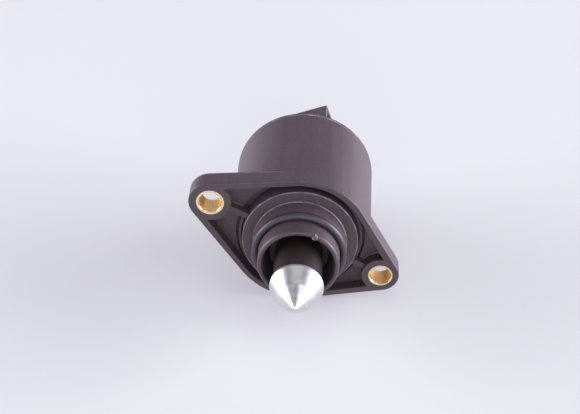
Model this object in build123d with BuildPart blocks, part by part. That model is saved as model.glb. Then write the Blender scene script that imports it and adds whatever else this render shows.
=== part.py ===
from build123d import *
import os
from math import atan2, cos, degrees, hypot, radians, sin

# Idle air control valve: a stepping motor in a moulded can drives a cone in and out of an air passage.
# The valve axis is Y. The cone points to -Y, the connector is at the rear, and +Z is up.
# The origin is on the valve axis, in the plane of the mounting face. Stations are Y values.

# Turn of the ear line and of the connector about the valve axis, in degrees
ear_roll = 26.0
connector_turn = 45.0

# Flange with two unequal ears
left_ear_reach = 7.1
right_ear_reach = 5.1
left_ear_radius = 5.5
right_ear_radius = 4.75
flange_thickness = 5.0
flange_edge_round = 0.3
rim_wall = 1.4
ear_rim_wall = 1.9
pocket_depth = 3.2
groove_depth = 5.0
face_ring_radius = 14.7
face_edge_round = 0.25
rib_width = 1.5
rib_drop = 1.0
pocket_foot_round = 0.4
fence_gap = 0.4
fence_wall = 0.65
fence_drop = 2.4
fence_opening = 80.0
boss_land = 1.7
collar_wall = 1.2
collar_height = 0.8

# Brass bushes that take the screw load
left_bush_hole = 2.85
left_bush_wall = 0.65
right_bush_hole = 2.65
right_bush_wall = 0.45
bush_lip = 0.15

# Can
body_radius = 17.9
body_wall = 1.6
body_length = 32.7
body_draft = 0.3
body_end_round = 0.2
web_thickness = 1.9

# Spigot, nose tube and its sealing ring
spigot_radius = 11.75
spigot_length = 4.4
nose_radius = 10.2
nose_length = 10.85
nose_bore = 9.0
nose_round = 0.7
nose_bore_round = 0.35
o_ring_wire = 0.88

# Guide bush, with the tongue that stops the plunger from turning
guide_front = -5.0
guide_rear = 5.0
guide_wall = 1.35
guide_flange_thickness = 1.0
guide_flange_width = 1.4
tongue_width = 2.0
tongue_height = 0.7

# Plunger, cone and lead screw
plunger_radius = 6.0
plunger_wall = 1.4
plunger_front = -19.1
plunger_rear = 0.5
plunger_end_wall = 3.0
plunger_groove_length = 14.5
plunger_groove_floor = 0.5
cone_radius = 6.6
cone_land = 0.6
cone_shoulder_radius = 4.4
cone_shoulder_length = 4.3
cone_apex_length = 4.8
cone_tip_radius = 1.0
screw_radius = 2.45
screw_end_gap = 1.1
stroke_in = 6.0
screw_in_cone = 4.0

# Spring inside the plunger and the washer that it pushes on
spring_wire = 0.35
spring_radius = 3.55
spring_turns = 7
thrust_washer_thickness = 0.5
thrust_washer_width = 1.5

# Front ball bearing
bearing_bore = 4.0
bearing_entry_gap = 0.6
bearing_width = 4.0
bearing_ring_wall = 1.3
race_depth = 0.45
ball_count = 7
snap_ring_thickness = 0.4
snap_ring_width = 1.0
snap_ring_bite = 0.3
snap_ring_gap = 50.0
bearing_boss_wall = 1.1

# Rotor
rotor_hub_radius = 5.0
rotor_hub_setback = 0.6
rotor_journal_radius = 3.0
rotor_journal_length = 2.6
rotor_bore_floor = 1.6
rotor_share = 0.48
magnet_air_gap = 0.4
magnet_end_gap = 0.7
rear_bush_wall = 1.5
rear_bush_length = 2.3
end_washer_thickness = 0.4

# Claw-pole stator in two stacked sections
claw_thickness = 0.8
claw_width = 3.4
claw_end_gap = 0.7
claw_count = 6
plate_thickness = 1.0
cup_wall = 1.0
bobbin_wall = 0.7
bobbin_flange_gap = 0.3
coil_flange_gap = 0.35

# Rear cover and its seal
cover_thickness = 1.0
cover_step = 0.12
cover_edge_round = 0.25
register_length = 2.4
register_wall = 2.6
cover_seal_wire = 0.6
cover_seal_width = 1.3
cover_boss_wall = 1.5
cover_boss_floor = 0.15

# Connector on the rear cover
connector_width = 22.8
connector_height = 12.6
connector_mouth = 9.2
connector_back = 10.0
connector_slope_top = 4.0
connector_slope_foot = 5.0
connector_wall = 1.4
connector_edge_round = 0.7
socket_depth = 12.6
latch_width = 6.0
latch_length = 4.0
latch_height = 1.3
latch_setback = 3.5
key_width = 1.2
key_height = 1.0
key_spacing = 12.0
terminal_count = 4
terminal_pitch = 5.0
terminal_width = 2.2
terminal_thickness = 0.8
terminal_setback = 5.0
terminal_root_inset = 3.0
terminal_tail = 1.2

# Clearances
seat_gap = 0.02
running_gap = 0.05
slide_gap = 0.1
part_gap = 0.3

# Sizes and stations that follow
left_ear_distance = body_radius + left_ear_reach
right_ear_distance = body_radius + right_ear_reach
left_bush_radius = left_bush_hole + left_bush_wall
right_bush_radius = right_bush_hole + right_bush_wall
bush_length = flange_thickness + collar_height
body_bore = body_radius - body_wall
body_rear_radius = body_radius + body_draft
groove_radius = body_radius - rim_wall
web_rear = groove_depth + web_thickness
guide_bore = plunger_radius + running_gap
guide_radius = guide_bore + guide_wall
claw_inner_radius = rotor_share * body_radius
bearing_radius = claw_inner_radius - bearing_entry_gap
ball_radius = (bearing_radius - bearing_bore) / 2 - bearing_ring_wall + race_depth
bearing_rear = web_rear + bearing_width
boss_bore = bearing_radius + seat_gap
boss_rear = bearing_rear + snap_ring_thickness
screw_bore = screw_radius + running_gap
plunger_bore = plunger_radius - plunger_wall
stator_radius = body_bore - slide_gap
plate_radius = stator_radius - cup_wall - seat_gap
stator_front = boss_rear
stator_rear = body_length - register_length
stator_middle = (stator_front + stator_rear) / 2
section_length = stator_middle - stator_front
bobbin_width = section_length - 2 * plate_thickness
claw_length = bobbin_width - claw_end_gap
magnet_radius = claw_inner_radius - magnet_air_gap
hub_front = web_rear
rotor_hub_rear = stator_rear - rotor_hub_setback
rotor_bore_end = rotor_hub_rear - rotor_bore_floor
screw_rear = rotor_bore_end - stroke_in - screw_end_gap
claw_corner_radius = hypot(claw_inner_radius + claw_thickness, claw_width / 2)
bobbin_bore = claw_corner_radius + slide_gap
cover_rear = body_length + cover_thickness
rear_bush_bore = rotor_journal_radius + running_gap
rear_bush_radius = rear_bush_bore + rear_bush_wall
rear_bush_front = rotor_hub_rear + end_washer_thickness + slide_gap
rear_bush_rear = rear_bush_front + rear_bush_length


def turned_plane(station, turn):
    """A plane square to the valve axis at a station, facing the front, with its x turned up by an angle."""
    return Plane(origin=(0, station, 0), x_dir=(cos(radians(turn)), 0, sin(radians(turn))), z_dir=(0, -1, 0))


flange_plane = turned_plane(0, -ear_roll)
connector_plane = turned_plane(cover_rear, connector_turn - ear_roll)
connector_side = Plane(
    origin=connector_plane.origin,
    x_dir=connector_plane.x_dir,
    z_dir=connector_plane.y_dir,
)

os.makedirs("parts", exist_ok=True)


def at(station):
    """The plane square to the valve axis at a station. It faces the front, so extrude(-x) runs rearwards."""
    return Plane.XZ.offset(-station)


def ring(inner_radius, outer_radius, front, rear):
    """A plain ring about the valve axis between two stations."""
    with BuildPart() as turned:
        with BuildSketch(at(front)):
            Circle(outer_radius)
            Circle(inner_radius, mode=Mode.SUBTRACT)
        extrude(amount=front - rear)
    return turned


def ear_hull(inset, ear_inset):
    """The flange outline, moved in by two insets: the hull of the can's circle and the two ear circles."""
    Circle(body_radius - inset)
    with Locations((-left_ear_distance, 0)):
        Circle(left_ear_radius - ear_inset)
    with Locations((right_ear_distance, 0)):
        Circle(right_ear_radius - ear_inset)
    make_hull()


def wedge(reach, middle, width):
    """Opens a sector of a ring: a triangle from its centre, about a middle angle, with a width in degrees."""
    first = radians(middle - width / 2)
    last = radians(middle + width / 2)
    Polygon(
        (0, 0),
        (reach * cos(first), reach * sin(first)),
        (reach * cos(last), reach * sin(last)),
        align=None,
        mode=Mode.SUBTRACT,
    )


def corner_round(radius, station, side, end, size):
    """For an (r, Y) sketch: what lies between a square corner and its round. side and end are the signs of
    the way from the corner to the centre of the round."""
    with Locations((radius + side * size / 2, station + end * size / 2)):
        Rectangle(size, size)
    with Locations((radius + side * size, station + end * size)):
        Circle(size, mode=Mode.SUBTRACT)


# Housing: can, flange with a hollowed face, spigot and nose tube in one moulding
left_boss_radius = left_bush_radius + boss_land
right_boss_radius = right_bush_radius + boss_land
with BuildPart() as housing:
    with BuildSketch(flange_plane):
        ear_hull(0, 0)
    extrude(amount=-flange_thickness)
    with BuildSketch(at(flange_thickness)):
        Circle(body_radius)
    with BuildSketch(at(body_length)):
        Circle(body_rear_radius)
    loft()
    face_edges = housing.edges().group_by(Axis.Y)[0]
    fillet(face_edges, flange_edge_round)

    # Hollow between the rim wall and the face ring, round the ear bosses
    with BuildSketch(flange_plane):
        ear_hull(rim_wall, ear_rim_wall)
        Circle(face_ring_radius, mode=Mode.SUBTRACT)
        with Locations((-left_ear_distance, 0)):
            Circle(left_boss_radius, mode=Mode.SUBTRACT)
        with Locations((right_ear_distance, 0)):
            Circle(right_boss_radius, mode=Mode.SUBTRACT)
    extrude(amount=-pocket_depth, mode=Mode.SUBTRACT)
    with BuildSketch(flange_plane.offset(-pocket_depth)):
        Circle(groove_radius)
        Circle(face_ring_radius, mode=Mode.SUBTRACT)
    extrude(amount=pocket_depth - groove_depth, mode=Mode.SUBTRACT)

    # Motor space and the boss for the front bearing
    with BuildSketch(at(web_rear)):
        Circle(body_bore)
    extrude(amount=web_rear - body_length, mode=Mode.SUBTRACT)
    with BuildSketch(at(web_rear)):
        Circle(boss_bore + snap_ring_bite + bearing_boss_wall)
    extrude(amount=web_rear - boss_rear)

    # Low round fence in the groove, open above the left ear, and one rib from each ear boss to the face ring
    fence_radius = face_ring_radius + fence_gap
    with BuildSketch(flange_plane.offset(-fence_drop)):
        Circle(fence_radius + fence_wall)
        Circle(fence_radius, mode=Mode.SUBTRACT)
        wedge(2 * fence_radius, 180 - fence_opening / 2, fence_opening)
    extrude(amount=fence_drop - groove_depth)
    with BuildSketch(flange_plane.offset(-rib_drop)):
        rib_inner = face_ring_radius - rib_width
        for ear, side in ((left_ear_distance, -1), (right_ear_distance, 1)):
            rib_length = ear - left_bush_radius - boss_land / 2 - rib_inner
            with Locations((side * (rib_inner + rib_length / 2), 0)):
                Rectangle(rib_length, rib_width)
    extrude(amount=rib_drop - flange_thickness)

    # Spigot in front of the flange, and the bores along the axis behind it
    with BuildSketch(at(0)):
        Circle(spigot_radius)
    extrude(amount=spigot_length)
    with BuildSketch(at(-spigot_length)):
        Circle(nose_bore)
    extrude(amount=-spigot_length - guide_flange_thickness, mode=Mode.SUBTRACT)
    with BuildSketch(at(0)):
        Circle(guide_radius + seat_gap)
    extrude(amount=-guide_rear, mode=Mode.SUBTRACT)
    with BuildSketch(at(0)):
        Circle(plunger_radius + 2 * part_gap)
    extrude(amount=-boss_rear, mode=Mode.SUBTRACT)
    with BuildSketch(at(web_rear)):
        Circle(boss_bore)
    extrude(amount=web_rear - boss_rear, mode=Mode.SUBTRACT)
    snap_groove_front = boss_rear - snap_ring_thickness
    with BuildSketch(at(snap_groove_front)):
        Circle(boss_bore + snap_ring_bite)
    extrude(amount=-snap_ring_thickness, mode=Mode.SUBTRACT)

    # Small rounds on the face ring and the can's end, and at the foot of the spigot
    with BuildSketch(Plane.XY):
        corner_round(face_ring_radius, 0, -1, 1, face_edge_round)
        corner_round(body_rear_radius, body_length, -1, -1, body_end_round)
    revolve(axis=Axis.Y, mode=Mode.SUBTRACT)
    with BuildSketch(Plane.XY):
        corner_round(spigot_radius, 0, 1, -1, face_edge_round)
    revolve(axis=Axis.Y)

    # Nose tube, with rounded edges at its open end
    with BuildSketch(Plane.XY) as nose_wall:
        with Locations(((nose_bore + nose_radius) / 2, -(spigot_length + nose_length) / 2)):
            Rectangle(nose_radius - nose_bore, nose_length - spigot_length)
        nose_corners = nose_wall.vertices().group_by(Axis.Y)[0].sort_by(Axis.X)
        fillet(nose_corners[-1], nose_round)
        nose_corners = nose_wall.vertices().group_by(Axis.Y)[0].sort_by(Axis.X)
        fillet(nose_corners[0], nose_bore_round)
    revolve(axis=Axis.Y)

    # Collars behind the ears, and the holes for the two bushes
    with BuildSketch(flange_plane.offset(-flange_thickness)):
        with Locations((-left_ear_distance, 0)):
            Circle(left_bush_radius + collar_wall)
        with Locations((right_ear_distance, 0)):
            Circle(right_bush_radius + collar_wall)
    extrude(amount=-collar_height)
    with BuildSketch(flange_plane):
        with Locations((-left_ear_distance, 0)):
            Circle(left_bush_radius + seat_gap)
        with Locations((right_ear_distance, 0)):
            Circle(right_bush_radius + seat_gap)
    extrude(amount=-bush_length, mode=Mode.SUBTRACT)

    # Rounds where the ribs and the ear bosses meet the floor of the hollow
    floor_edges = housing.edges().filter_by_position(Axis.Y, pocket_depth - seat_gap, pocket_depth + seat_gap)
    foot_edges = floor_edges.filter_by(Axis((0, 0, 0), flange_plane.x_dir))
    foot_edges += floor_edges.filter_by(GeomType.CIRCLE).filter_by(
        lambda edge: edge.radius < face_ring_radius / 2
    )
    fillet(foot_edges, pocket_foot_round)
housing.part.label = "housing"
export_step(housing.part, "parts/housing.step")

# Brass bushes, one in each ear, with a small lip inside each end
bush_sizes = {
    "left_bush": (-left_ear_distance, left_bush_radius, left_bush_hole),
    "right_bush": (right_ear_distance, right_bush_radius, right_bush_hole),
}
for bush_name, (ear_place, outer_radius, hole_radius) in bush_sizes.items():
    with BuildPart() as bush:
        with BuildSketch(flange_plane):
            with Locations((ear_place, 0)):
                Circle(outer_radius)
                Circle(hole_radius, mode=Mode.SUBTRACT)
        extrude(amount=-bush_length)
        hole_edges = bush.edges().filter_by(GeomType.CIRCLE).filter_by(
            lambda edge: edge.radius < (hole_radius + outer_radius) / 2
        )
        chamfer(hole_edges, bush_lip)
    bush.part.label = bush_name
    export_step(bush.part, f"parts/{bush_name}.step")

# Rubber sealing ring on the nose tube, against the shoulder of the spigot
o_ring_radius = nose_radius + o_ring_wire + seat_gap
o_ring_station = -spigot_length - o_ring_wire - seat_gap
with BuildPart() as o_ring:
    with BuildSketch(Plane.XY):
        with Locations((o_ring_radius, o_ring_station)):
            Circle(o_ring_wire)
    revolve(axis=Axis.Y)
o_ring.part.label = "o_ring"
export_step(o_ring.part, "parts/o_ring.step")

# Guide bush in the bulkhead, with one tongue along the bottom of its bore
with BuildPart() as guide_bush:
    with BuildSketch(at(guide_front)):
        Circle(guide_radius)
        Circle(guide_bore, mode=Mode.SUBTRACT)
        with Locations((0, -guide_bore - guide_wall / 2 + (tongue_height + guide_wall / 2) / 2)):
            Rectangle(tongue_width, tongue_height + guide_wall / 2)
    extrude(amount=guide_front - guide_rear)
    with BuildSketch(at(0)):
        Circle(guide_radius + guide_flange_width)
        Circle(guide_radius - guide_wall / 2, mode=Mode.SUBTRACT)
    extrude(amount=-guide_flange_thickness)
guide_bush.part.label = "guide_bush"
export_step(guide_bush.part, "parts/guide_bush.step")

# Plunger: a hollow sleeve with a closed front end and a groove for the tongue
groove_bottom = guide_bore - tongue_height - slide_gap
with BuildPart() as plunger:
    with BuildSketch(at(plunger_front)):
        Circle(plunger_radius)
        Circle(screw_radius + seat_gap, mode=Mode.SUBTRACT)
    extrude(amount=plunger_front - plunger_rear)
    with BuildSketch(at(plunger_front + plunger_end_wall)):
        Circle(plunger_bore)
    extrude(amount=plunger_front + plunger_end_wall - plunger_rear, mode=Mode.SUBTRACT)
    with BuildSketch(at(plunger_rear)):
        with Locations((0, -groove_bottom - plunger_radius / 2)):
            Rectangle(tongue_width + 2 * slide_gap, plunger_radius)
    extrude(amount=plunger_groove_length, mode=Mode.SUBTRACT)
plunger.part.label = "plunger"
export_step(plunger.part, "parts/plunger.step")

# Turned aluminium cone with two tapers and a round tip, on the end of the lead screw
cone_shoulder = plunger_front - cone_land - cone_shoulder_length
cone_slope = atan2(cone_shoulder_radius, cone_apex_length)
tip_centre = cone_shoulder - cone_apex_length + cone_tip_radius / sin(cone_slope)
tip_touch = (cone_tip_radius * cos(cone_slope), tip_centre - cone_tip_radius * sin(cone_slope))
tip_end = (0, tip_centre - cone_tip_radius)
with BuildPart() as pintle_cone:
    with BuildSketch(Plane.XY):
        with BuildLine():
            Polyline(
                (0, plunger_front),
                (cone_radius, plunger_front),
                (cone_radius, plunger_front - cone_land),
                (cone_shoulder_radius, cone_shoulder),
                tip_touch,
            )
            CenterArc((0, tip_centre), cone_tip_radius, -90, 90 - degrees(cone_slope))
            Line(tip_end, (0, plunger_front))
        make_face()
    revolve(axis=Axis.Y)
    with BuildSketch(at(plunger_front)):
        Circle(screw_radius + seat_gap)
    extrude(amount=screw_in_cone + slide_gap, mode=Mode.SUBTRACT)
pintle_cone.part.label = "pintle_cone"
export_step(pintle_cone.part, "parts/pintle_cone.step")

# Lead screw, held in the cone and carried by the threaded rotor hub
screw_front = plunger_front - screw_in_cone
with BuildPart() as lead_screw:
    with BuildSketch(at(screw_front)):
        Circle(screw_radius)
    extrude(amount=screw_front - screw_rear)
    chamfer(lead_screw.edges().group_by(Axis.Y)[-1], screw_radius / 4)
lead_screw.part.label = "lead_screw"
export_step(lead_screw.part, "parts/lead_screw.step")

# Thrust washer on the front end of the rotor hub
thrust_washer_rear = hub_front - slide_gap
thrust_washer_front = thrust_washer_rear - thrust_washer_thickness
thrust_washer_bore = screw_radius + part_gap
thrust_washer = ring(
    thrust_washer_bore,
    thrust_washer_bore + thrust_washer_width,
    thrust_washer_front,
    thrust_washer_rear,
)
thrust_washer.part.label = "thrust_washer"
export_step(thrust_washer.part, "parts/thrust_washer.step")

# Coil spring in the plunger that takes up the play of the thread
spring_front = plunger_front + plunger_end_wall + spring_wire + running_gap
spring_rear = thrust_washer_front - spring_wire - running_gap
spring_pitch = (spring_rear - spring_front) / spring_turns
with BuildPart() as return_spring:
    with BuildLine() as spring_line:
        Helix(spring_pitch, spring_rear - spring_front, spring_radius, (0, spring_front, 0), (0, 1, 0))
    with BuildSketch(Plane(spring_line.line @ 0, z_dir=spring_line.line % 0)):
        Circle(spring_wire)
    sweep(is_frenet=True)
return_spring.part.label = "return_spring"
export_step(return_spring.part, "parts/return_spring.step")

# Front ball bearing: two grooved rings and the balls between them
bearing_front = web_rear
bearing_middle = bearing_front + bearing_width / 2
ball_circle = (bearing_bore + bearing_radius) / 2
ring_sizes = {
    "bearing_inner_ring": (bearing_bore, bearing_bore + bearing_ring_wall),
    "bearing_outer_ring": (bearing_radius - bearing_ring_wall, bearing_radius),
}
for ring_name, (inner_radius, outer_radius) in ring_sizes.items():
    with BuildPart() as bearing_ring:
        with BuildSketch(Plane.XY):
            with Locations(((inner_radius + outer_radius) / 2, bearing_middle)):
                Rectangle(outer_radius - inner_radius, bearing_width)
            with Locations((ball_circle, bearing_middle)):
                Circle(ball_radius + running_gap, mode=Mode.SUBTRACT)
        revolve(axis=Axis.Y)
    bearing_ring.part.label = ring_name
    export_step(bearing_ring.part, f"parts/{ring_name}.step")
with BuildPart() as bearing_balls:
    with Locations(at(bearing_middle)):
        with PolarLocations(ball_circle, ball_count):
            Sphere(ball_radius)
bearing_balls.part.label = "bearing_balls"
export_step(bearing_balls.part, "parts/bearing_balls.step")

# Open snap ring that keeps the bearing in its boss
snap_outer = boss_bore + snap_ring_bite - seat_gap
with BuildPart() as snap_ring:
    with BuildSketch(at(snap_groove_front + seat_gap)):
        Circle(snap_outer)
        Circle(snap_outer - snap_ring_width, mode=Mode.SUBTRACT)
        wedge(2 * snap_outer, -90, snap_ring_gap)
    extrude(amount=2 * seat_gap - snap_ring_thickness)
snap_ring.part.label = "snap_ring"
export_step(snap_ring.part, "parts/snap_ring.step")

# Rotor hub: the nut for the lead screw, with a journal at each end
journal_rear = rotor_hub_rear + rotor_journal_length
with BuildPart() as rotor_hub:
    with BuildSketch(at(hub_front)):
        Circle(bearing_bore - seat_gap)
    extrude(amount=hub_front - bearing_rear)
    with BuildSketch(at(bearing_rear)):
        Circle(rotor_hub_radius)
    extrude(amount=bearing_rear - rotor_hub_rear)
    with BuildSketch(at(rotor_hub_rear)):
        Circle(rotor_journal_radius)
    extrude(amount=rotor_hub_rear - journal_rear)
    with BuildSketch(at(hub_front)):
        Circle(screw_bore)
    extrude(amount=hub_front - rotor_bore_end, mode=Mode.SUBTRACT)
rotor_hub.part.label = "rotor_hub"
export_step(rotor_hub.part, "parts/rotor_hub.step")

# Ring magnet on the hub
rotor_magnet = ring(
    rotor_hub_radius + seat_gap,
    magnet_radius,
    stator_front + magnet_end_gap,
    rotor_hub_rear - magnet_end_gap,
)
rotor_magnet.part.label = "rotor_magnet"
export_step(rotor_magnet.part, "parts/rotor_magnet.step")

# End washer and rear bearing bush
end_washer_front = rotor_hub_rear + running_gap
end_washer = ring(
    rotor_journal_radius + slide_gap,
    rotor_hub_radius - slide_gap,
    end_washer_front,
    end_washer_front + end_washer_thickness,
)
end_washer.part.label = "end_washer"
export_step(end_washer.part, "parts/end_washer.step")
rear_bush = ring(rear_bush_bore, rear_bush_radius, rear_bush_front, rear_bush_rear)
rear_bush.part.label = "rear_bush"
export_step(rear_bush.part, "parts/rear_bush.step")

# Stator: each section is a drawn cup and a flat plate, whose claws interlock round the rotor
claw_middle = claw_inner_radius + claw_thickness / 2
claw_pitch = 360 / claw_count
# Name, outer end, way the claws point, turn of the first claw, length of the cup's wall
pole_pieces = (
    ("front_stator_cup", stator_front, 1, 0, section_length),
    ("front_pole_plate", stator_middle, -1, claw_pitch / 2, 0),
    ("rear_pole_plate", stator_middle, 1, claw_pitch / 4, 0),
    ("rear_stator_cup", stator_rear, -1, claw_pitch * 3 / 4, section_length),
)
for pole_name, outer_end, way, first_claw, wall_length in pole_pieces:
    with BuildPart() as pole_piece:
        with BuildSketch(at(outer_end)):
            Circle(stator_radius if wall_length else plate_radius)
            Circle(claw_inner_radius, mode=Mode.SUBTRACT)
        extrude(amount=-way * plate_thickness)
        if wall_length:
            with BuildSketch(at(outer_end)):
                Circle(stator_radius)
                Circle(stator_radius - cup_wall, mode=Mode.SUBTRACT)
            extrude(amount=-way * wall_length)
        with BuildSketch(at(outer_end)):
            with PolarLocations(claw_middle, claw_count, start_angle=first_claw):
                Rectangle(claw_thickness, claw_width)
        extrude(amount=-way * (plate_thickness + claw_length))
        with BuildSketch(at(outer_end)):
            Circle(claw_inner_radius)
        extrude(amount=-way * (plate_thickness + claw_length), mode=Mode.SUBTRACT)
    pole_piece.part.label = pole_name
    export_step(pole_piece.part, f"parts/{pole_name}.step")

# Bobbins with their windings
bobbin_fronts = {
    "front": stator_front + plate_thickness,
    "rear": stator_middle + plate_thickness,
}
bobbin_radius = stator_radius - cup_wall - bobbin_flange_gap
for section, bobbin_front in bobbin_fronts.items():
    bobbin_rear = bobbin_front + bobbin_width
    with BuildPart() as bobbin:
        with BuildSketch(at(bobbin_front)):
            Circle(bobbin_radius)
            Circle(bobbin_bore, mode=Mode.SUBTRACT)
        extrude(amount=-bobbin_width)
        with BuildSketch(at(bobbin_front + bobbin_wall)):
            Circle(bobbin_radius)
            Circle(bobbin_bore + bobbin_wall, mode=Mode.SUBTRACT)
        extrude(amount=2 * bobbin_wall - bobbin_width, mode=Mode.SUBTRACT)
    bobbin.part.label = f"{section}_bobbin"
    export_step(bobbin.part, f"parts/{section}_bobbin.step")
    coil = ring(
        bobbin_bore + bobbin_wall + seat_gap,
        bobbin_radius - coil_flange_gap,
        bobbin_front + bobbin_wall + seat_gap,
        bobbin_rear - bobbin_wall - seat_gap,
    )
    coil.part.label = f"{section}_coil"
    export_step(coil.part, f"parts/{section}_coil.step")

# Rear cover: a disc with a register in the can and the connector shroud across its outer face
register_radius = body_bore - slide_gap
seal_station = (stator_rear + body_length) / 2
seal_floor = body_bore - 2 * cover_seal_wire - seat_gap
socket_back = connector_mouth - socket_depth
socket_height = connector_height - 2 * connector_wall
terminal_station = connector_height / 2
terminal_root = -connector_back + terminal_root_inset
terminal_tip = connector_mouth - terminal_setback
terminal_middle_offset = (terminal_count - 1) / 2
terminal_places = [(index - terminal_middle_offset) * terminal_pitch for index in range(terminal_count)]
with BuildPart() as rear_cover:
    with BuildSketch(at(body_length)):
        Circle(body_rear_radius - cover_step)
    extrude(amount=-cover_thickness)
    fillet(rear_cover.edges().group_by(Axis.Y)[-1], cover_edge_round)
    with BuildSketch(at(stator_rear)):
        Circle(register_radius)
        Circle(register_radius - register_wall, mode=Mode.SUBTRACT)
    extrude(amount=stator_rear - body_length)
    with BuildSketch(at(seal_station - cover_seal_width / 2)):
        Circle(body_radius)
        Circle(seal_floor, mode=Mode.SUBTRACT)
    extrude(amount=-cover_seal_width, mode=Mode.SUBTRACT)

    # Boss with the seat of the rear bearing bush
    with BuildSketch(at(rear_bush_front)):
        Circle(rear_bush_radius + seat_gap + cover_boss_wall)
    extrude(amount=rear_bush_front - body_length)
    with BuildSketch(at(rear_bush_front)):
        Circle(rear_bush_radius + seat_gap)
    extrude(amount=rear_bush_front - rear_bush_rear, mode=Mode.SUBTRACT)
    with BuildSketch(at(rear_bush_front)):
        Circle(rear_bush_bore)
    extrude(amount=rear_bush_front - max(rear_bush_rear, journal_rear) - cover_boss_floor, mode=Mode.SUBTRACT)

    # Shroud block with a sloping back, open at its mouth
    with BuildSketch(connector_side.offset(-connector_width / 2)):
        with BuildLine():
            Polyline(
                (connector_mouth, 0),
                (connector_mouth, connector_height),
                (-connector_slope_top, connector_height),
                (-connector_back, connector_slope_foot),
                (-connector_back, 0),
                close=True,
            )
        make_face()
    extrude(amount=connector_width)
    shroud_edges = rear_cover.edges().group_by(Axis.Y)[-1]
    shroud_edges += rear_cover.edges().filter_by(Axis.Y).sort_by(SortBy.LENGTH)[-2:]
    fillet(shroud_edges, connector_edge_round)
    with BuildSketch(connector_plane.offset(-connector_wall)):
        with Locations((connector_mouth - socket_depth / 2, 0)):
            Rectangle(socket_depth, connector_width - 2 * connector_wall)
    extrude(amount=-socket_height, mode=Mode.SUBTRACT)

    # Latch nose on the outside of the shroud and two keys inside it
    latch_top = connector_mouth - latch_setback
    with BuildSketch(connector_side.offset(-latch_width / 2)):
        with BuildLine():
            Polyline(
                (latch_top, connector_height),
                (latch_top - latch_length, connector_height),
                (latch_top - latch_length, connector_height + latch_height),
                (latch_top - latch_length / 2, connector_height + latch_height),
                close=True,
            )
        make_face()
    extrude(amount=latch_width)
    with BuildSketch(connector_plane.offset(-connector_wall)):
        with Locations((connector_mouth - socket_depth / 2, 0)):
            with GridLocations(socket_depth, key_spacing, 1, 2):
                Rectangle(socket_depth, key_width)
    extrude(amount=-key_height)

    # Ways for the terminals
    with BuildSketch(connector_plane.offset(cover_rear - stator_rear)):
        for place in terminal_places:
            with Locations((terminal_root, place)):
                Rectangle(terminal_thickness + 2 * seat_gap, terminal_width + 2 * seat_gap)
    leg_height = terminal_station + terminal_thickness / 2
    extrude(amount=stator_rear - cover_rear - leg_height - seat_gap, mode=Mode.SUBTRACT)
    with BuildSketch(connector_plane.offset(terminal_thickness / 2 + seat_gap - terminal_station)):
        for place in terminal_places:
            with Locations(((terminal_root + socket_back) / 2, place)):
                Rectangle(socket_back - terminal_root, terminal_width + 2 * seat_gap)
    extrude(amount=-terminal_thickness - 2 * seat_gap, mode=Mode.SUBTRACT)
rear_cover.part.label = "rear_cover"
export_step(rear_cover.part, "parts/rear_cover.step")

# Rubber ring between the cover's register and the can
with BuildPart() as cover_seal:
    with BuildSketch(Plane.XY):
        with Locations((seal_floor + cover_seal_wire + seat_gap / 2, seal_station)):
            Circle(cover_seal_wire)
    revolve(axis=Axis.Y)
cover_seal.part.label = "cover_seal"
export_step(cover_seal.part, "parts/cover_seal.step")

# Terminals: bent blades from the coils to the socket
for number, place in enumerate(terminal_places, start=1):
    with BuildPart() as terminal:
        with BuildSketch(connector_side.offset(place - terminal_width / 2)):
            with BuildLine():
                half = terminal_thickness / 2
                tail = body_length - cover_rear - terminal_tail
                Polyline(
                    (terminal_root - half, tail),
                    (terminal_root + half, tail),
                    (terminal_root + half, terminal_station - half),
                    (terminal_tip, terminal_station - half),
                    (terminal_tip, terminal_station + half),
                    (terminal_root - half, terminal_station + half),
                    close=True,
                )
            make_face()
        extrude(amount=terminal_width)
    terminal.part.label = f"terminal_{number}"
    export_step(terminal.part, f"parts/terminal_{number}.step")
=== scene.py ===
from math import cos, hypot, pi, radians, sin, tau

import bpy
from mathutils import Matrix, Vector


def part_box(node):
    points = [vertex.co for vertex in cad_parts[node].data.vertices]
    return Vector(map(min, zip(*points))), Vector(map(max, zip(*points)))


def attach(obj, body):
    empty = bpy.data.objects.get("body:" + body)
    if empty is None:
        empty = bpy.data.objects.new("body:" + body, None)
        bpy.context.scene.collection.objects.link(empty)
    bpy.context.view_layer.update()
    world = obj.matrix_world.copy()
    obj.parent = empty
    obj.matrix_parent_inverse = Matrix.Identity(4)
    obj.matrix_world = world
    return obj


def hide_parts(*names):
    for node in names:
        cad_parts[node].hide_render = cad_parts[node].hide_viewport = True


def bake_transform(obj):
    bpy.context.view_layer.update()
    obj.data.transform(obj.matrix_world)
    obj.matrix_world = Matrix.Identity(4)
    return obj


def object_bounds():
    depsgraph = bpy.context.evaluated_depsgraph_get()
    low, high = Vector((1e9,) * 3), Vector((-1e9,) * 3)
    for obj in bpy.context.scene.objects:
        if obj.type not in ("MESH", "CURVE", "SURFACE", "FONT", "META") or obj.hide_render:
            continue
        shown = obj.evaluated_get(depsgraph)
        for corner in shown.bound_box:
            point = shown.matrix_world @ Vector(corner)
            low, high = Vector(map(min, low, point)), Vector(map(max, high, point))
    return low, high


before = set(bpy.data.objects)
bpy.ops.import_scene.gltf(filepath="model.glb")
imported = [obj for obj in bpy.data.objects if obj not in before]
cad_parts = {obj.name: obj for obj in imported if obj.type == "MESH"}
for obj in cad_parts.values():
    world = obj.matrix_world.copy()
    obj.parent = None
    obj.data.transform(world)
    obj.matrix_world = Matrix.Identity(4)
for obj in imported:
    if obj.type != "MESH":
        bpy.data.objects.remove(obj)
cad_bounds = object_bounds()

# Housing: can, hollowed flange, spigot and nose tube, moulded in one piece of black glass-filled plastic.
# It is satin, with a fine grain and faint drag lines from the mould, and pale lines are painted along its
# sharp edges as highlights.
# The spigot and nose are a little smoother than the rest, for the seal.

# Most values of a noise lie between these two
noise_low = 0.3
noise_high = 0.7


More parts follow.
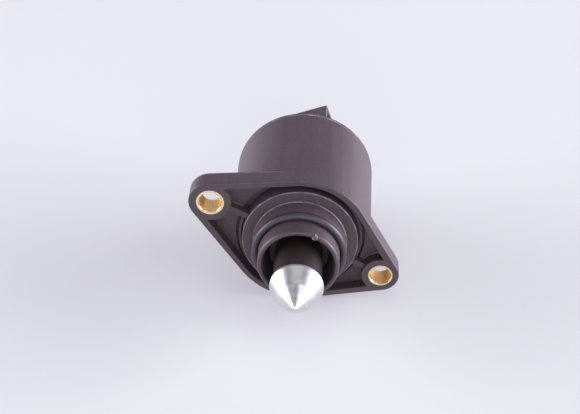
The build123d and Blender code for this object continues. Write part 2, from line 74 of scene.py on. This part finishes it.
def new_material(name):
    """A node material, with its node tree and its surface shader."""
    material = bpy.data.materials.new(name)
    material.use_nodes = True
    tree = material.node_tree
    return material, tree, tree.nodes["Principled BSDF"]


def use(material, *node_names):
    """Puts a material in the slot of these pieces of the frame."""
    for node_name in node_names:
        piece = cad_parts[node_name]
        piece.data.materials.clear()
        piece.data.materials.append(material)


def own_place(tree):
    """The place of a point on its piece, as a socket."""
    return tree.nodes.new("ShaderNodeTexCoord").outputs["Object"]


def own_axis(tree, axis):
    """The place of a point on its piece along one axis, as a socket."""
    split = tree.nodes.new("ShaderNodeSeparateXYZ")
    tree.links.new(own_place(tree), split.inputs["Vector"])
    return split.outputs[axis]


def grain(tree, scale, detail=3.0, stretch=1.0):
    """Noise over a piece, as a factor. A small stretch draws it out along the valve axis."""
    draw_out = tree.nodes.new("ShaderNodeMapping")
    draw_out.inputs["Scale"].default_value = (1.0, stretch, 1.0)
    tree.links.new(own_place(tree), draw_out.inputs["Vector"])
    noise = tree.nodes.new("ShaderNodeTexNoise")
    noise.inputs["Scale"].default_value = scale
    noise.inputs["Detail"].default_value = detail
    tree.links.new(draw_out.outputs["Vector"], noise.inputs["Vector"])
    return noise.outputs["Fac"]


def ramp(tree, factor, low, high, low_at=noise_low, high_at=noise_high):
    """A colour that runs from one to another as a factor grows."""
    scale = tree.nodes.new("ShaderNodeValToRGB")
    scale.color_ramp.elements[0].position = low_at
    scale.color_ramp.elements[1].position = high_at
    scale.color_ramp.elements[0].color = (*low, 1.0)
    scale.color_ramp.elements[1].color = (*high, 1.0)
    tree.links.new(factor, scale.inputs["Fac"])
    return scale.outputs["Color"]


def ranged(tree, value, low, high, at_low, at_high):
    """A number that runs from at_low to at_high as a value goes from low to high, and is held beyond them."""
    change = tree.nodes.new("ShaderNodeMapRange")
    change.inputs["From Min"].default_value = low
    change.inputs["From Max"].default_value = high
    change.inputs["To Min"].default_value = at_low
    change.inputs["To Max"].default_value = at_high
    tree.links.new(value, change.inputs["Value"])
    return change.outputs["Result"]


def relief(tree, height, strength, distance=0.0001):
    """Bumps on a material's surface that follow a height."""
    bump = tree.nodes.new("ShaderNodeBump")
    bump.inputs["Strength"].default_value = strength
    bump.inputs["Distance"].default_value = distance
    tree.links.new(height, bump.inputs["Height"])
    tree.links.new(bump.outputs["Normal"], tree.nodes["Principled BSDF"].inputs["Normal"])


def sums(tree, operation, first, second=0.0):
    """One step of arithmetic on two sockets or numbers."""
    step = tree.nodes.new("ShaderNodeMath")
    step.operation = operation
    for socket, value in zip(step.inputs, (first, second)):
        if isinstance(value, (int, float)):
            socket.default_value = value
        else:
            tree.links.new(value, socket)
    return step.outputs["Value"]


def mixed(tree, factor, first, second):
    """A mix of two colours, each a socket or a colour."""
    mix = tree.nodes.new("ShaderNodeMix")
    mix.data_type = "RGBA"
    tree.links.new(factor, mix.inputs["Factor"])
    for socket, value in ((mix.inputs["A"], first), (mix.inputs["B"], second)):
        if isinstance(value, tuple):
            socket.default_value = (*value, 1.0)
        else:
            tree.links.new(value, socket)
    return mix.outputs["Result"]


def long_side(tree, first, second):
    """The long side of a right-angled triangle with these two short sides."""
    squares = [sums(tree, "MULTIPLY", side, side) for side in (first, second)]
    return sums(tree, "POWER", sums(tree, "ADD", *squares), 0.5)


def painted_highlight_line(tree, apart, width):
    """How much painted highlight lies along an edge: 1 on the edge, 0 a width away from it."""
    full_width = 0.4 * width
    return ranged(tree, apart, low=full_width, high=width, at_low=1.0, at_high=0.0)


# Edges of the housing, and the width and share of the painted highlight along each
face_ring_radius = 0.0147
spigot_radius = 0.01175
face_highlight_width = 0.00028
can_end_radius = 0.0182
can_end = 0.0327
cover_radius = 0.01808
cover_back = 0.0337
rim_highlight_width = 0.00034
flange_back_edge = 0.00474
flange_highlight_width = 0.0002
flange_highlight_share = 0.30
nose_start = -0.0003
nose_smoothing = 0.04
nose_grain_loss = 0.7
black_plastic, tree, shader = new_material("black_plastic")
mould_grain = grain(tree, scale=2600.0)
plain = ramp(tree, mould_grain, low=(0.032, 0.022, 0.025), high=(0.057, 0.040, 0.045))
drag_lines = grain(tree, scale=1100.0, detail=2.0, stretch=0.04)
drag = ranged(tree, drag_lines, low=0.40, high=noise_high, at_low=0.0, at_high=0.3)
dragged = mixed(tree, drag, plain, (0.075, 0.056, 0.063))
fibres = tree.nodes.new("ShaderNodeTexVoronoi")
fibres.inputs["Scale"].default_value = 700.0
tree.links.new(own_place(tree), fibres.inputs["Vector"])
speck = ranged(tree, fibres.outputs["Distance"], low=0.05, high=0.14, at_low=0.30, at_high=0.0)
speckled = mixed(tree, speck, dragged, (0.20, 0.17, 0.20))
station = own_axis(tree, "Y")
from_axis = long_side(tree, own_axis(tree, "X"), own_axis(tree, "Z"))
# Painted highlights: pale lines along the flange's back edge, the face ring's rim, the spigot's foot and the
# two rear rims, where these edges catch light.
beside_can = sums(tree, "GREATER_THAN", from_axis, can_end_radius)
from_back = sums(tree, "ABSOLUTE", sums(tree, "SUBTRACT", station, flange_back_edge))
flange_highlight = sums(tree, "MULTIPLY", painted_highlight_line(tree, from_back, flange_highlight_width), beside_can)
edges = sums(tree, "MULTIPLY", flange_highlight, flange_highlight_share)
for edge_radius, edge_station, edge_width, highlight_share in (
    (face_ring_radius, 0.0, face_highlight_width, 0.38),
    (spigot_radius, 0.0, face_highlight_width, 0.42),
    (can_end_radius, can_end, rim_highlight_width, 1.0),
    (cover_radius, cover_back, rim_highlight_width, 1.0),
):
    outwards = sums(tree, "SUBTRACT", from_axis, edge_radius)
    along = sums(tree, "SUBTRACT", station, edge_station)
    edge_highlight = painted_highlight_line(tree, long_side(tree, outwards, along), edge_width)
    edges = sums(tree, "MAXIMUM", edges, sums(tree, "MULTIPLY", edge_highlight, highlight_share))
# A patchy noise breaks up the painted highlights, which are mixed into the colour as a pale lilac grey.
highlight_patches = ranged(tree, grain(tree, scale=420.0), low=0.42, high=0.62, at_low=0.20, at_high=1.0)
with_painted_highlights = mixed(tree, sums(tree, "MULTIPLY", edges, highlight_patches), speckled, (0.46, 0.41, 0.46))
tree.links.new(with_painted_highlights, shader.inputs["Base Color"])
in_front = sums(tree, "LESS_THAN", station, nose_start)
satin = ranged(tree, drag_lines, low=noise_low, high=noise_high, at_low=0.46, at_high=0.54)
smoothing = sums(tree, "MULTIPLY", in_front, nose_smoothing)
tree.links.new(sums(tree, "SUBTRACT", satin, smoothing), shader.inputs["Roughness"])
grain_left = sums(tree, "SUBTRACT", 1.0, sums(tree, "MULTIPLY", in_front, nose_grain_loss))
relief(tree, sums(tree, "MULTIPLY", mould_grain, grain_left), strength=0.35)
shader.inputs["Sheen Weight"].default_value = 0.10
shader.inputs["Sheen Roughness"].default_value = 0.4
shader.inputs["Sheen Tint"].default_value = (0.82, 0.70, 0.95, 1.0)
use(black_plastic, "housing")

# Gate mark: the small dished pip on the nose's rim where the plastic entered the mould.
# It is part of the moulding, broken off and left rough.

# Widest gap that is closed as a seam, sharpest edge that is shaded smooth,
# and least cosine of a face that looks straight along a direction
seam_gap = 0.000002
smooth_angle = radians(30.0)
square_on = 0.9


def placed(name):
    """Names the piece that was just added, and puts its place in its mesh."""
    piece = bpy.context.active_object
    piece.name = name
    bpy.ops.object.transform_apply(location=True, rotation=True, scale=True)
    return piece


def select_faces(piece, test):
    """Selects the faces of a piece that pass a test, and leaves it in edit mode."""
    bpy.ops.object.mode_set(mode="EDIT")
    bpy.ops.mesh.select_mode(type="FACE")
    bpy.ops.mesh.select_all(action="DESELECT")
    bpy.ops.object.mode_set(mode="OBJECT")
    for face in piece.data.polygons:
        face.select = test(face)
    bpy.ops.object.mode_set(mode="EDIT")


def settle(piece, material, body):
    """Closes seams, turns faces outwards, puts the place in the mesh and lets the piece ride on a body."""
    bpy.ops.object.mode_set(mode="EDIT")
    bpy.ops.mesh.select_all(action="SELECT")
    bpy.ops.mesh.remove_doubles(threshold=seam_gap)
    bpy.ops.mesh.normals_make_consistent(inside=False)
    bpy.ops.object.mode_set(mode="OBJECT")
    bpy.ops.object.transform_apply(location=True, rotation=True, scale=True)
    bpy.ops.object.shade_smooth_by_angle(angle=smooth_angle)
    piece.data.materials.clear()
    piece.data.materials.append(material)
    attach(piece, body)


broken_plastic, tree, shader = new_material("broken_plastic")
breakage = grain(tree, scale=4200.0)
broken_colour = ramp(tree, breakage, (0.03, 0.02, 0.03), (0.30, 0.26, 0.31), low_at=0.42, high_at=0.62)
tree.links.new(broken_colour, shader.inputs["Base Color"])
roughness = ranged(tree, breakage, low=noise_low, high=noise_high, at_low=0.40, at_high=0.70)
tree.links.new(roughness, shader.inputs["Roughness"])
gate_turn = radians(25.0)
gate_from_axis = 0.0096
gate_radius = 0.00065
gate_height = 0.0010
gate_stand = 0.00030
gate_wall = 0.00016
gate_dish = 0.00022
gate_tear = 0.00007
nose_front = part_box("housing")[0].y
gate_middle = nose_front - gate_stand + gate_height / 2
bpy.ops.object.select_all(action="DESELECT")
bpy.ops.mesh.primitive_cylinder_add(
    vertices=32, radius=gate_radius, depth=gate_height, rotation=(pi / 2, 0, 0),
    location=(gate_from_axis * sin(gate_turn), gate_middle, gate_from_axis * cos(gate_turn)),
)
gate_mark = placed("gate_mark")
select_faces(gate_mark, lambda face: face.normal.y < -square_on)
bpy.ops.mesh.inset(thickness=gate_wall)
bpy.ops.mesh.extrude_region_move(TRANSFORM_OT_translate={"value": (0, gate_dish, 0)})
bpy.ops.mesh.inset(thickness=gate_wall)
bpy.ops.mesh.extrude_region_move(TRANSFORM_OT_translate={"value": (0, -gate_dish / 2, 0)})
select_faces(gate_mark, lambda face: face.center.y < nose_front)
bpy.ops.transform.vertex_random(offset=gate_tear, uniform=0.4, normal=0.2, seed=7)
settle(gate_mark, broken_plastic, "housing")

# Rear cover: a moulded disc with the plug socket across it, in the same black plastic.
# It is welded to the end of the can all round.
use(black_plastic, "rear_cover")

# Mouth rim: the end of the plug socket's wall, moulded with the cover and broken a little at its inner edge.
# It goes round the socket's mouth, level with its outer faces, and guides the plug in.
plug_angle = radians(19.0)
plug_way = Vector((cos(plug_angle), 0, sin(plug_angle)))
mouth_from_axis = 0.0092
mouth_width = 0.02274
mouth_height = 0.01257
mouth_wall = 0.00135
mouth_corner = 0.0007
rim_depth = 0.00105
rim_stand = 0.00035
rim_lead = 0.0002
plane_margin = 0.00001
hole_margin = 0.0001
rim_end = mouth_from_axis + rim_stand
mouth_middle = Vector((0, cover_back + mouth_height / 2, 0))
hole_reach = hypot(mouth_width / 2 - mouth_wall, mouth_height / 2 - mouth_wall) + hole_margin


def select_edges(piece, test):
    """Selects the edges of a piece whose two ends pass a test, and leaves it in edit mode."""
    bpy.ops.object.mode_set(mode="EDIT")
    bpy.ops.mesh.select_mode(type="EDGE")
    bpy.ops.mesh.select_all(action="DESELECT")
    bpy.ops.object.mode_set(mode="OBJECT")
    for edge in piece.data.edges:
        edge.select = test(*(piece.data.vertices[number].co for number in edge.vertices))
    bpy.ops.object.mode_set(mode="EDIT")


def at_mouth(point):
    """Whether a point lies in the plane of the rim's open end."""
    return point.dot(plug_way) > rim_end - plane_margin


def at_hole(point):
    """Whether a point lies on the edge of the rim's hole."""
    return (point - mouth_middle).cross(plug_way).length < hole_reach


def outer_corner(first, last):
    """Whether an edge is one of the rim's two outer corners that stand away from the cover."""
    return at_mouth(first) != at_mouth(last) and not at_hole(first) and first.y > mouth_middle.y


def inner_edge(first, last):
    """Whether an edge goes round the hole at the rim's open end."""
    return at_mouth(first) and at_mouth(last) and at_hole(first) and at_hole(last)


bpy.ops.object.select_all(action="DESELECT")
bpy.ops.mesh.primitive_cube_add(
    size=1.0, scale=(rim_depth, mouth_height, mouth_width), rotation=(0, -plug_angle, 0),
    location=plug_way * (rim_end - rim_depth / 2) + mouth_middle,
)
mouth_rim = placed("mouth_rim")
select_faces(mouth_rim, lambda face: abs(face.normal.dot(plug_way)) > square_on)
bpy.ops.mesh.inset(thickness=mouth_wall)
bpy.ops.mesh.bridge_edge_loops()
select_edges(mouth_rim, outer_corner)
bpy.ops.mesh.bevel(offset=mouth_corner, segments=5, affect="EDGES")
select_edges(mouth_rim, inner_edge)
bpy.ops.mesh.bevel(offset=rim_lead, segments=1, affect="EDGES")
settle(mouth_rim, black_plastic, "housing")

# Weld bead: the thin uneven roll of plastic that the weld pressed out between the can and its cover.
# It lies in the notch between their two edges.
bead_radius = 0.00013
bead_from_axis = 0.01802
bead_ripple = 0.00003
bpy.ops.object.select_all(action="DESELECT")
bpy.ops.mesh.primitive_circle_add(vertices=10, radius=bead_radius, location=(bead_from_axis, can_end, 0))
weld_bead = placed("weld_bead")
bpy.ops.object.mode_set(mode="EDIT")
bpy.ops.mesh.select_all(action="SELECT")
bpy.ops.mesh.spin(steps=180, angle=tau, center=(0, 0, 0), axis=(0, 1, 0))
bpy.ops.mesh.select_all(action="SELECT")
bpy.ops.transform.vertex_random(offset=bead_ripple, uniform=0.5, normal=0.5, seed=4)
settle(weld_bead, black_plastic, "housing")

# Bushes: thin tubes of drawn brass pressed into the ears, so that the screws don't crush the plastic.
# The bore keeps the streaks of the drawing, and the mouth is faced on the lathe; its paler, creamier colour
# is a painted highlight.
bush_mouth_depth = 0.0003
bush_bore_depth = 0.0008
brass, tree, shader = new_material("brass")
streaks = grain(tree, scale=560.0, detail=2.0, stretch=0.08)
amber_bore = ramp(tree, streaks, low=(0.92, 0.55, 0.10), high=(1.0, 0.80, 0.34))
# The mouth's pale colour is a painted highlight on the faced rim.
mouth_highlight = ramp(tree, streaks, low=(0.72, 0.54, 0.30), high=(0.84, 0.68, 0.46))
depth = own_axis(tree, "Y")
inside = ranged(tree, depth, low=bush_mouth_depth, high=bush_bore_depth, at_low=0.0, at_high=1.0)
tree.links.new(mixed(tree, inside, mouth_highlight, amber_bore), shader.inputs["Base Color"])
roughness = ranged(tree, streaks, low=noise_low, high=noise_high, at_low=0.24, at_high=0.32)
tree.links.new(roughness, shader.inputs["Roughness"])
relief(tree, streaks, strength=0.03)
shader.inputs["Metallic"].default_value = 0.7
use(brass, "left_bush", "right_bush")

# Rubber rings: one on the nose tube that seals the air passage, one between the cover and the can.
# Both are moulded in black nitrile rubber, smooth and slightly oily.


def worn_material(name, wear_scale, dark, light, smooth, rough, metallic=0.0):
    """A material whose colour and roughness vary with a fine grain."""
    material, tree, shader = new_material(name)
    wear = grain(tree, wear_scale)
    tree.links.new(ramp(tree, wear, dark, light), shader.inputs["Base Color"])
    roughness = ranged(tree, wear, low=noise_low, high=noise_high, at_low=smooth, at_high=rough)
    tree.links.new(roughness, shader.inputs["Roughness"])
    shader.inputs["Metallic"].default_value = metallic
    return material


rubber = worn_material(
    "rubber", wear_scale=1500.0, dark=(0.028, 0.022, 0.026), light=(0.044, 0.036, 0.042),
    smooth=0.42, rough=0.50,
)
use(rubber, "o_ring", "cover_seal")

# Guide bush: a dull black plastic sleeve, moulded and pressed into the bulkhead behind the nose.
# A tongue along its bore keeps the plunger from turning.
# The near-black colour is painted shade: the sleeve sits deep in the bore, where little light reaches.
shaded_dull_black = worn_material(
    "shaded_dull_black", wear_scale=1500.0, dark=(0.004, 0.003, 0.003), light=(0.008, 0.006, 0.006),
    smooth=0.60, rough=0.75,
)
use(shaded_dull_black, "guide_bush")

# Plunger: a smooth sleeve of black plastic with a closed front end, which slides in the guide bush.
# It is moulded with a groove for the guide's tongue, and carries the cone.
smooth_black = worn_material(
    "smooth_black", wear_scale=1200.0, dark=(0.019, 0.013, 0.012), light=(0.023, 0.016, 0.015),
    smooth=0.29, rough=0.33,
)
use(smooth_black, "plunger")

# Cone: aluminium with two tapers and a round tip, turned and left bright, with fine tool marks round it.
# It is pressed on the end of the lead screw.


def rings(tree, scale, distortion=0.0):
    """Bands round the valve axis, as a factor."""
    bands = tree.nodes.new("ShaderNodeTexWave")
    bands.bands_direction = "Y"
    bands.inputs["Scale"].default_value = scale
    bands.inputs["Distortion"].default_value = distortion
    tree.links.new(own_place(tree), bands.inputs["Vector"])
    return bands.outputs["Fac"]


aluminium = worn_material(
    "aluminium", wear_scale=700.0, dark=(0.58, 0.60, 0.59), light=(0.68, 0.70, 0.68),
    smooth=0.34, rough=0.39, metallic=1.0,
)
tool_marks = rings(aluminium.node_tree, scale=1300.0, distortion=0.6)
relief(aluminium.node_tree, tool_marks, strength=0.06)
use(aluminium, "pintle_cone")

# Lead screw: a steel rod, turned, with a thread over its rear half, where it runs in the rotor hub.
# Its front end is held in the cone, and a plain pilot at its rear end leads it into the hub.
steel = worn_material(
    "steel", wear_scale=600.0, dark=(0.50, 0.50, 0.52), light=(0.62, 0.62, 0.64),
    smooth=0.24, rough=0.36, metallic=1.0,
)


def wind(piece, lead, turns, steps):
    """Winds a profile round the valve axis as a screw, closes its two ends and leaves it in edit mode."""
    bpy.ops.object.modifier_add(type="SCREW")
    winding = piece.modifiers[-1]
    winding.axis = "Y"
    winding.angle = tau
    winding.screw_offset = lead
    winding.iterations = turns
    winding.steps = steps
    winding.render_steps = steps
    bpy.ops.object.modifier_apply(modifier=winding.name)
    bpy.ops.object.mode_set(mode="EDIT")
    bpy.ops.mesh.select_all(action="SELECT")
    bpy.ops.mesh.remove_doubles(threshold=seam_gap)
    bpy.ops.mesh.select_all(action="SELECT")
    bpy.ops.mesh.fill_holes(sides=0)


thread_lead = 0.001
thread_root = 0.00195
thread_front = -0.001
root_flat = 0.22 * thread_lead
flank = 0.22 * thread_lead
crest_flat = 0.12 * thread_lead
pilot_length = 0.0015
pilot_radius = 0.98 * thread_root
run_out = 0.0004
screw_sides = 36
screw_low, screw_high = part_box("lead_screw")
screw_crest = screw_high.x
thread_depth = screw_crest - thread_root
thread_turns = int((screw_high.y - thread_front) / thread_lead) - 1
bpy.ops.object.select_all(action="DESELECT")
bpy.ops.mesh.primitive_plane_add(size=thread_lead, location=(thread_root, thread_front, 0))
threaded_screw = placed("threaded_screw")
bpy.ops.object.mode_set(mode="EDIT")
bpy.ops.mesh.select_mode(type="VERT")
bpy.ops.mesh.select_all(action="SELECT")
bpy.ops.mesh.merge(type="CENTER")
for outwards, along in (
    (0, root_flat),
    (thread_depth, flank),
    (0, crest_flat),
    (-thread_depth, flank),
    (0, root_flat),
):
    bpy.ops.mesh.extrude_vertices_move(TRANSFORM_OT_translate={"value": (outwards, along, 0)})
bpy.ops.object.mode_set(mode="OBJECT")
wind(threaded_screw, thread_lead, thread_turns, screw_sides)
for rod_radius, rod_front, rod_rear in (
    (screw_crest, screw_low.y, thread_front + thread_lead / 2),
    (pilot_radius, screw_high.y - pilot_length, screw_high.y),
):
    bpy.ops.mesh.primitive_cylinder_add(
        vertices=screw_sides, radius=rod_radius, depth=rod_rear - rod_front, rotation=(pi / 2, 0, 0),
        location=(0, (rod_front + rod_rear) / 2, 0),
    )
    bpy.ops.mesh.select_mode(type="EDGE")
    bpy.ops.mesh.bevel(offset=run_out, segments=1, affect="EDGES")
settle(threaded_screw, steel, "pintle")
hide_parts("lead_screw")

# Return spring: hard steel wire coiled round the lead screw, in the plunger, to take up the thread's play.
# Its rear end stands on a steel thrust washer and its front end goes with the plunger, so in the valve it
# shortens and lengthens between the two; here it is built at one length.
use(steel, "thrust_washer")
spring_wire = 0.00035
spring_turns = 7
spring_smooth_angle = radians(40.0)
spring_low, spring_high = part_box("return_spring")
spring_length = spring_high.y - spring_low.y - 2 * spring_wire
bpy.ops.object.select_all(action="DESELECT")
bpy.ops.mesh.primitive_circle_add(
    vertices=12, radius=spring_wire, location=(spring_high.x - spring_wire, spring_low.y + spring_wire, 0),
)
coil_spring = placed("coil_spring")
wind(coil_spring, spring_length / spring_turns, spring_turns, steps=40)
bpy.ops.mesh.select_all(action="SELECT")
bpy.ops.mesh.normals_make_consistent(inside=False)
bpy.ops.object.mode_set(mode="OBJECT")
bpy.ops.object.shade_smooth_by_angle(angle=spring_smooth_angle)
coil_spring.data.materials.append(steel)
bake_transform(coil_spring)
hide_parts("return_spring")

# Front bearing: a small steel ball bearing that carries the front of the rotor, with two ground rings.
# It sits in a boss of the housing, kept there by an open snap ring of steel.
use(steel, "bearing_inner_ring", "bearing_outer_ring", "bearing_balls", "snap_ring")

# Rotor: a moulded hub of pale plastic, which is also the nut on the lead screw.
# A sintered ferrite ring magnet is fixed on it.
pale_plastic = worn_material(
    "pale_plastic", wear_scale=1200.0, dark=(0.62, 0.60, 0.52), light=(0.72, 0.70, 0.62),
    smooth=0.40, rough=0.50,
)
use(pale_plastic, "rotor_hub")
ferrite = worn_material(
    "ferrite", wear_scale=1800.0, dark=(0.05, 0.05, 0.055), light=(0.09, 0.09, 0.10), smooth=0.50, rough=0.62,
)
use(ferrite, "rotor_magnet")

# Rear bearing: a bush of sintered bronze in the cover's boss, where the hub's rear journal turns.
# A stamped steel washer lies at that end of the hub.
use(steel, "end_washer")
bronze = worn_material(
    "bronze", wear_scale=2200.0, dark=(0.40, 0.24, 0.11), light=(0.56, 0.36, 0.18),
    smooth=0.38, rough=0.50, metallic=1.0,
)
use(bronze, "rear_bush")

# Stator: two drawn cups and two flat plates of zinc-plated steel, stacked in pairs round the rotor.
# Their claws are bent inwards and reach in between one another.
plated_steel = worn_material(
    "plated_steel", wear_scale=800.0, dark=(0.50, 0.49, 0.45), light=(0.62, 0.61, 0.56),
    smooth=0.30, rough=0.42, metallic=1.0,
)
use(plated_steel, "front_stator_cup", "front_pole_plate", "rear_pole_plate", "rear_stator_cup")

# Coils: enamelled copper wire wound on moulded bobbins of pale plastic, one in each pair of the stator.
# The outer layer is made turn by turn, and the layers below it are one solid ring.
use(pale_plastic, "front_bobbin", "rear_bobbin")
copper = worn_material(
    "copper", wear_scale=1500.0, dark=(0.45, 0.16, 0.07), light=(0.62, 0.26, 0.12),
    smooth=0.28, rough=0.40, metallic=1.0,
)
relief(copper.node_tree, rings(copper.node_tree, scale=1200.0), strength=0.2)
wire_radius = 0.00015
winding_bore = 0.01037
winding_steps = 96
for coil_name, winding_name in (("front_coil", "front_winding"), ("rear_coil", "rear_winding")):
    coil_low, coil_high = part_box(coil_name)
    coil_length = coil_high.y - coil_low.y
    wire_from_axis = coil_high.x - wire_radius
    section_middle = ((winding_bore + wire_from_axis) / 2, (coil_low.y + coil_high.y) / 2, 0)
    bpy.ops.object.select_all(action="DESELECT")
    bpy.ops.mesh.primitive_circle_add(
        vertices=8, radius=wire_radius, location=(wire_from_axis, coil_low.y + wire_radius, 0),
    )
    winding = placed(winding_name)
    bpy.ops.object.mode_set(mode="EDIT")
    bpy.ops.mesh.select_all(action="SELECT")
    bpy.ops.mesh.spin(steps=winding_steps, angle=tau, center=(0, 0, 0), axis=(0, 1, 0))
    bpy.ops.object.mode_set(mode="OBJECT")
    bpy.ops.object.modifier_add(type="ARRAY")
    layer = winding.modifiers[-1]
    layer.count = int(coil_length / (2 * wire_radius))
    layer.use_relative_offset = False
    layer.use_constant_offset = True
    layer.constant_offset_displace = (0, 2 * wire_radius, 0)
    bpy.ops.object.modifier_apply(modifier=layer.name)
    bpy.ops.object.mode_set(mode="EDIT")
    bpy.ops.mesh.select_all(action="DESELECT")
    bpy.ops.mesh.primitive_plane_add(size=1.0, location=section_middle)
    bpy.ops.transform.resize(
        value=(wire_from_axis - winding_bore, coil_length, 1.0), center_override=section_middle,
    )
    bpy.ops.mesh.delete(type="ONLY_FACE")
    bpy.ops.mesh.spin(steps=winding_steps, angle=tau, center=(0, 0, 0), axis=(0, 1, 0))
    settle(winding, copper, "housing")
    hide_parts(coil_name)

# Terminals: four blades of tinned brass, stamped and bent from the coils into the socket.
# Their tips are pressed to a taper, to lead the plug on.
tin = worn_material(
    "tin", wear_scale=900.0, dark=(0.70, 0.69, 0.66), light=(0.80, 0.79, 0.76),
    smooth=0.26, rough=0.38, metallic=1.0,
)
blade_count = 4
taper_length = 0.0013
taper_share = 0.45
end_margin = 0.0001
for number in range(1, blade_count + 1):
    blade_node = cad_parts[f"terminal_{number}"]
    bpy.ops.object.select_all(action="DESELECT")
    blade = blade_node.copy()
    blade.data = blade_node.data.copy()
    blade.name = f"blade_{number}"
    bpy.context.collection.objects.link(blade)
    blade.select_set(True)
    bpy.context.view_layer.objects.active = blade
    tip = max(vertex.co.dot(plug_way) for vertex in blade.data.vertices)
    bpy.ops.object.mode_set(mode="EDIT")
    bpy.ops.mesh.select_all(action="SELECT")
    bpy.ops.mesh.remove_doubles(threshold=seam_gap)
    bpy.ops.mesh.select_all(action="SELECT")
    bpy.ops.mesh.bisect(plane_co=plug_way * (tip - taper_length), plane_no=plug_way)
    select_faces(blade, lambda face: (
        face.normal.dot(plug_way) > square_on and face.center.dot(plug_way) > tip - end_margin))
    bpy.ops.object.mode_set(mode="OBJECT")
    end_points = [vertex.co for vertex in blade.data.vertices if vertex.co.dot(plug_way) > tip - plane_margin]
    end_middle = sum(end_points, Vector()) / len(end_points)
    bpy.ops.object.mode_set(mode="EDIT")
    bpy.ops.transform.resize(value=(taper_share, taper_share, taper_share), center_override=end_middle)
    settle(blade, tin, "housing")
    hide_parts(f"terminal_{number}")

# Floor: a wide sheet of pale paper that the belly of the can lies on. It isn't part of the object.
# To the eye and in reflections a part of it glows, as a lit backdrop does, and it keeps the shadows.
floor_side = 6.0
glow_share = 0.30
bpy.ops.object.select_all(action="DESELECT")
bpy.ops.mesh.primitive_plane_add(size=floor_side, location=(0, 0, cad_bounds[0].z))
floor = bpy.context.active_object
floor.name = "floor"
paper, tree, shader = new_material("paper")
shader.inputs["Base Color"].default_value = (0.68, 0.74, 0.67, 1.0)
shader.inputs["Roughness"].default_value = 0.9
shader.inputs["Specular IOR Level"].default_value = 0.1
glow = tree.nodes.new("ShaderNodeEmission")
glow.inputs["Color"].default_value = (0.78, 0.73, 0.93, 1.0)
glow.inputs["Strength"].default_value = 1.0
light_path = tree.nodes.new("ShaderNodeLightPath")
seen = sums(tree, "MAXIMUM", light_path.outputs["Is Camera Ray"], light_path.outputs["Is Glossy Ray"])
lit_paper = tree.nodes.new("ShaderNodeMixShader")
tree.links.new(sums(tree, "MULTIPLY", seen, glow_share), lit_paper.inputs["Fac"])
tree.links.new(shader.outputs["BSDF"], lit_paper.inputs[1])
tree.links.new(glow.outputs["Emission"], lit_paper.inputs[2])
tree.links.new(lit_paper.outputs["Shader"], tree.nodes["Material Output"].inputs["Surface"])
floor.data.materials.append(paper)

# Light: a dim panel overhead, and a large far box on each side that draws the bright flanks of the can.
# Two small boxes in front are for the cone and the edges, and a far box in front lifts the shadows.


def soft_box(name, place, width, height, energy, colour):
    """A rectangular lamp that faces the valve."""
    bpy.ops.object.light_add(type="AREA", location=place)
    lamp = bpy.context.active_object
    lamp.name = name
    lamp.data.shape = "RECTANGLE"
    lamp.data.size = width
    lamp.data.size_y = height
    lamp.data.energy = energy
    lamp.data.color = colour
    lamp.rotation_euler = (-Vector(place)).to_track_quat("-Z", "Y").to_euler()


soft_box(
    "top_panel", place=(-0.03, 0.12, 0.80), width=0.70, height=0.70, energy=1.1, colour=(1.0, 1.0, 0.97),
)
soft_box(
    "left_box", place=(-2.4, 0.12, 0.50), width=2.8, height=1.0, energy=110.0, colour=(0.93, 0.87, 1.0),
)
soft_box(
    "right_box", place=(2.4, 0.20, 0.50), width=2.8, height=1.0, energy=155.0, colour=(0.94, 0.88, 1.0),
)
soft_box(
    "front_box", place=(0.34, -0.34, 0.58), width=0.26, height=0.26, energy=0.6, colour=(1.0, 0.99, 0.97),
)
soft_box(
    "near_box", place=(-0.22, -0.38, 0.66), width=0.22, height=0.22, energy=0.12, colour=(1.0, 0.99, 0.97),
)
soft_box(
    "fill_box", place=(0.15, -2.6, 0.62), width=2.1, height=1.4, energy=36.0, colour=(1.0, 0.94, 1.0),
)

# Room: a pale backdrop that reaches up from the horizon all round, and a dim ceiling over it.
# It fills the shadows a little and gives the metal something to reflect.
backdrop_colour = (0.50, 0.45, 0.60)
ceiling_colour = (0.08, 0.07, 0.10)
backdrop_top = 0.45
ceiling_edge = 0.80
world = bpy.data.worlds.new("room")
bpy.context.scene.world = world
world.use_nodes = True
tree = world.node_tree
way = tree.nodes.new("ShaderNodeTexCoord")
split = tree.nodes.new("ShaderNodeSeparateXYZ")
tree.links.new(way.outputs["Generated"], split.inputs["Vector"])
room_colour = ramp(
    tree, split.outputs["Z"], backdrop_colour, ceiling_colour, low_at=backdrop_top, high_at=ceiling_edge,
)
tree.links.new(room_colour, tree.nodes["Background"].inputs["Color"])

# Camera: where the photograph was taken from, level, looking down along the cone.
# It has a long lens, and stands about a third of a metre away.
camera_place = (0.01122, -0.2878, 0.19995)
camera_way = Vector((-0.0398, 0.8343, -0.5499))
bpy.ops.object.camera_add(location=camera_place)
camera = bpy.context.active_object
camera.name = "camera"
camera.data.lens = 86.0
camera.data.sensor_width = 36.0
camera.data.clip_start = 0.01
camera.rotation_euler = camera_way.to_track_quat("-Z", "Y").to_euler()
bpy.context.scene.camera = camera
bpy.context.scene.view_settings.view_transform = "Standard"
